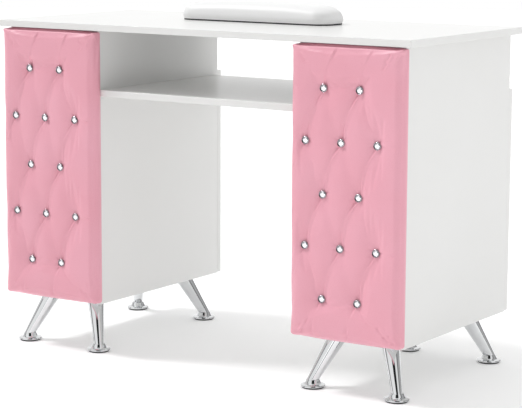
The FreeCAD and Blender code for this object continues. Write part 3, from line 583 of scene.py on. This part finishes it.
def to_rim(x, z, bends, end):
    return curve_points([(x, z), *((x + across, z + up) for across, up in bends), end])


def pleats(spots, box, dice):
    """Paths and depths of the thin folds: from each button down to the left, to the next one or the rim."""
    left, right, low, high = box
    found = []
    for upper, lower in neighbours(spots, -1):
        bend = dice.uniform(0.8, 1.2)
        below = (upper[0] - 0.017 * bend, upper[1] - 0.026)
        above = (lower[0] + 0.004, lower[1] + 0.052 * bend)
        path = curve_points([upper, below, above, (lower[0] + 0.0025, lower[1])])
        found.append((path, dice.uniform(0.0022, 0.0042)))
    for x, z in spots:
        if z > high - END_REACH:
            end = (x + dice.uniform(0.02, 0.04), high - 0.004)
            found.append((to_rim(x, z, UP_BENDS, end), dice.uniform(0.0012, 0.0032)))
    for x, z in spots:
        if z < low + END_REACH:
            end = (x - dice.uniform(0.016, 0.026), low + 0.004)
            found.append((to_rim(x, z, DOWN_BENDS, end), dice.uniform(0.0016, 0.0034)))
    for x, z in spots:
        if x > right - RIGHT_REACH:
            end = (right - 0.014, z + dice.uniform(-0.006, 0.004))
            found.append((to_rim(x, z, RIGHT_BENDS, end), dice.uniform(0.0006, 0.0022)))
        if x < left + LEFT_REACH:
            end = (left + 0.008, z - dice.uniform(0.05, 0.07))
            found.append((to_rim(x, z, LEFT_BENDS, end), dice.uniform(0.0014, 0.003)))
    return found


PUCKERS, PUCKER_REACH, PUCKER_RING, PUCKER_FADE = 9, 0.034, 0.011, 0.008
GATHERS, GATHER_SOFT, GATHER_POINTS, GATHER_BOW = 4, 0.004, 12, 0.003


def puckers(flat, spots, dice):
    """Short folds that run out from each button."""
    result = np.zeros(len(flat))
    for x, z in spots:
        offset = flat - np.array((x, z))
        distance = np.linalg.norm(offset, axis=1)
        near = distance < PUCKER_REACH
        turn = np.arctan2(offset[near, 1], offset[near, 0])
        fade = np.exp(-((distance[near] - PUCKER_RING) / PUCKER_FADE) ** 2)
        wave = np.zeros(near.sum())
        for _ in range(PUCKERS):
            heading, spread = dice.uniform(-math.pi, math.pi), dice.uniform(0.1, 0.2)
            gap = np.angle(np.exp(1j * (turn - heading)))
            wave += dice.uniform(0.0005, 0.0013) * np.exp(-(gap / spread) ** 2)
        result[near] += wave * fade
    return result


def rim_wrinkles(flat, box, dice):
    """Gathers at the corners, where the cover is folded round."""
    left, right, low, high = box
    result = np.zeros(len(flat))
    corners = [(x, inward, z, upward) for x, inward in ((left, 1), (right, -1))
               for z, upward in ((low, 1), (high, -1))]
    for corner_x, inward, corner_z, upward in corners:
        for _ in range(GATHERS):
            start_x = corner_x + inward * dice.uniform(0.002, 0.03)
            start_z = corner_z + upward * dice.uniform(0.002, 0.012)
            reach, heading = dice.uniform(0.02, 0.05), dice.uniform(0.5, 1.3)
            end_x = start_x + inward * reach * math.cos(heading)
            end_z = start_z + upward * reach * math.sin(heading)
            middle = ((start_x + end_x) / 2 + inward * GATHER_BOW, (start_z + end_z) / 2)
            path = curve_points([(start_x, start_z), middle, middle, (end_x, end_z)], GATHER_POINTS)
            result += fold(flat, path, dice.uniform(0.0006, 0.0018), soft=GATHER_SOFT)
    return result


def crease(mesh, spots, box, dice):
    """Presses the thin folds into the front of a pad."""
    shaped, outward = vertices(mesh), normals(mesh)
    facing = np.clip(outward[:, 2], 0, 1) * (shaped[:, 2] > PAD_RECESS + 0.001)
    flat = shaped[:, :2]
    pulled = np.zeros(len(flat))
    for path, strength in pleats(spots, box, dice):
        pulled += fold(flat, path, strength)
    pulled += puckers(flat, spots, dice) + rim_wrinkles(flat, box, dice)
    return shaped - outward * (pulled * facing)[:, None]


def tufted_pad(side, finish, seed):
    low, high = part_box(f"{side}_tufted_pad")
    width, height, depth = high.x - low.x, high.z - low.z, high.y - low.y
    middle = Vector(((low.x + high.x) / 2, high.y, (low.z + high.z) / 2))
    box = (-width / 2, width / 2, -height / 2, height / 2)
    spots = [(x - middle.x, z - middle.z) for x, z in button_spots(middle.x)]
    points, faces, outer = panel_skin(width, height, depth)
    shaped = rounded(points, outer, width, height, depth)
    front = np.clip((shaped[:, 2] - (depth - PAD_ROUND)) / PAD_ROUND, 0, 1)
    front[outer:] = 0
    shaped[:, 2] -= front * tufting(shaped[:, :2], spots)
    piece = mesh_object(f"{side}_pad_cover", shaped, faces)
    gaps = [np.linalg.norm(shaped[:, :2] - np.array(spot), axis=1) for spot in spots]
    at_button = (np.min(gaps, axis=0) < BUTTON_RADIUS) & (front > 0.5)
    at_back = (shaped[:, 2] < PINNED_DEPTH) | (np.arange(len(shaped)) >= outer)
    simulate(piece, np.flatnonzero(at_back | at_button), PAD_CAP)
    subdivide(piece)
    shaped = crease(piece.data, spots, box, random.Random(seed))
    placed = np.column_stack([middle.x + shaped[:, 0], middle.y - shaped[:, 2], middle.z + shaped[:, 1]])
    piece.data.vertices.foreach_set("co", placed.ravel())
    close_back(piece)
    piece.data.materials.append(finish)
    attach(piece, "table")
    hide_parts(f"{side}_tufted_pad")


# ---------------------------------------------------------------- wrist cushion

CUSHION_STEP = 0.004
CUSHION_SIDE, CUSHION_CORNER = 0.012, 0.042
CUSHION_CAP, CUSHION_PINNED = 0.004, 0.002
SIDE_LEVELS = (0.75, 0.5, 0.25, 0.0)
TUCK_X, TUCK_Y = 0.012, 0.04
CROWN_DROP_X, CROWN_POWER_X, CROWN_DROP_Y = 0.28, 2.6, 0.1


def plan(column, row, half):
    """A point of the square grid moved onto the cushion's plan, whose corners are round."""
    x, y = column * half.x, row * half.y
    core_x, core_y = half.x - CUSHION_CORNER, half.y - CUSHION_CORNER
    out_x, out_y = max(abs(x) - core_x, 0), max(abs(y) - core_y, 0)
    if out_x > 0 and out_y > 0:
        reach = max(out_x, out_y) / math.hypot(out_x, out_y)
        x = math.copysign(core_x + out_x * reach, x)
        y = math.copysign(core_y + out_y * reach, y)
    return x, y


def dome(flat, half):
    """Height of the cushion's top over its base. Round the rim it's a quarter circle, seen from the side."""
    core = np.array([half.x - CUSHION_CORNER, half.y - CUSHION_CORNER])
    beyond = np.maximum(np.abs(flat) - core, 0)
    inside = np.maximum(CUSHION_CORNER - np.linalg.norm(beyond, axis=1), 0)
    share = np.clip(inside / CUSHION_CORNER, 0, 1)
    side = np.sqrt(np.clip(1 - (1 - share) ** 2, 0, 1))
    along, across = np.abs(flat[:, 0]) / half.x, np.abs(flat[:, 1]) / half.y
    crown = (1 - CROWN_DROP_X * along ** CROWN_POWER_X) * (1 - CROWN_DROP_Y * across ** 2)
    return CUSHION_SIDE + (2 * half.z - CUSHION_SIDE) * side * crown


def cushion_skin(half):
    """Grid over the cushion's top, and its sides down to the base, where they're tucked in a little."""
    columns, rows = round(2 * half.x / CUSHION_STEP), round(2 * half.y / CUSHION_STEP)
    flat = np.array([plan(column, row, half) for row in np.linspace(-1, 1, rows + 1)
                     for column in np.linspace(-1, 1, columns + 1)])
    upper = np.column_stack([flat, dome(flat, half)])
    points = [tuple(point) for point in upper]
    faces, last = grid_faces(columns, rows), grid_rim(columns, rows)
    rim = upper[last]
    for share in SIDE_LEVELS:
        current = list(range(len(points), len(points) + len(last)))
        tuck = (1 - share) ** 2
        points += [(x * (1 - TUCK_X * tuck), y * (1 - TUCK_Y * tuck), z * share) for x, y, z in rim]
        faces += strip(current, last)
        last = current
    return points, faces


def wrist_cushion(finish):
    low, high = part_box("wrist_cushion")
    middle, half = (low + high) / 2, (high - low) / 2
    piece = mesh_object("wrist_cushion_cover", *cushion_skin(half))
    simulate(piece, np.flatnonzero(vertices(piece.data)[:, 2] < CUSHION_PINNED), CUSHION_CAP)
    subdivide(piece)
    shaped = vertices(piece.data)
    shaped[:, 2] = np.maximum(shaped[:, 2], 0)
    piece.data.vertices.foreach_set("co", (shaped + np.array((middle.x, middle.y, low.z))).ravel())
    close_back(piece)
    piece.data.materials.append(finish)
    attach(piece, "wrist_rest")
    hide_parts("wrist_cushion")


# ---------------------------------------------------------------- crystals

GEM_SIDES = 10
# Radius of each ring of a stone, its depth behind the shell's face, and its turn in steps of a side.
GEM_BACK, GEM_GIRDLE = (0.0068, 0.0028, 0), (0.0068, 0.0017, 0)
GEM_CROWN, GEM_TABLE = (0.0053, 0.0006, 0.5), (0.0033, -0.0002, 0)


def gem_rings(face_y):
    """Rings of a cut stone, from its back to its table."""
    slice_angle = math.tau / GEM_SIDES
    return [[(radius * math.cos((index + turn) * slice_angle), face_y + depth,
              radius * math.sin((index + turn) * slice_angle)) for index in range(GEM_SIDES)]
            for radius, depth, turn in (GEM_BACK, GEM_GIRDLE, GEM_CROWN, GEM_TABLE)]


def gems(side, finish):
    low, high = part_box(f"{side}_tufted_pad")
    face_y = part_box(f"{side}_button_shells")[0].y
    made = bmesh.new()
    for x, z in button_spots((low.x + high.x) / 2):
        back, girdle, crown, table = ([made.verts.new((x + across, out, z + up)) for across, out, up in ring]
                                      for ring in gem_rings(face_y))
        for index in range(GEM_SIDES):
            following = (index + 1) % GEM_SIDES
            made.faces.new((back[index], back[following], girdle[following], girdle[index]))
            made.faces.new((girdle[index], girdle[following], crown[index]))
            made.faces.new((girdle[following], crown[following], crown[index]))
            made.faces.new((crown[index], crown[following], table[following]))
            made.faces.new((crown[index], table[following], table[index]))
        made.faces.new(table)
        made.faces.new(back[::-1])
    bmesh.ops.recalc_face_normals(made, faces=made.faces)
    mesh = bpy.data.meshes.new(f"{side}_cut_crystals")
    made.to_mesh(mesh)
    made.free()
    piece = new_object(f"{side}_cut_crystals", mesh)
    mesh.materials.append(finish)
    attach(piece, "table")
    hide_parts(f"{side}_button_crystals")


# ---------------------------------------------------------------- the whole scene

finishes = {
    "white_laminate": laminate("white_laminate", (0.80, 0.80, 0.79), (0.775, 0.775, 0.76)),
    "backing_board": hardboard(),
    "pink_leatherette": leather("pink_leatherette", (0.82, 0.375, 0.455), (0.72, 0.285, 0.365),
                                (0.85, 0.43, 0.52)),
    "white_leatherette": leather("white_leatherette", (0.86, 0.86, 0.86), (0.78, 0.78, 0.78),
                                 (0.88, 0.88, 0.88)),
    "black_base": black_plastic(),
    "crystal": crystal(),
    "chrome": metal("chrome", (0.74, 0.75, 0.76), (0.68, 0.69, 0.7), 0.03, 0.07),
    # A darker, pinkish copy of the chrome for the buttons' shells: its colour is painted shade and a painted
    # reflection of the pink pads and the dark room, not a different metal.
    "rim": metal("chrome_painted_shade", (0.4, 0.37, 0.39), (0.3, 0.27, 0.29), 0.1, 0.2),
    "zinc_steel": metal("zinc_steel", (0.62, 0.63, 0.65), (0.5, 0.51, 0.53), 0.25, 0.42, 0.00005),
    "cam_zinc": metal("cam_zinc", (0.5, 0.5, 0.51), (0.4, 0.4, 0.42), 0.38, 0.55, 0.0001),
    "beech": beech(),
}
camera()
floor().data.materials.append(floor_paint())
studio()
lamps()
dress(finishes)
for seed, side in enumerate(SIDES, start=3):
    tufted_pad(side, finishes["pink_leatherette"], seed)
    gems(side, finishes["crystal"])
wrist_cushion(finishes["white_leatherette"])
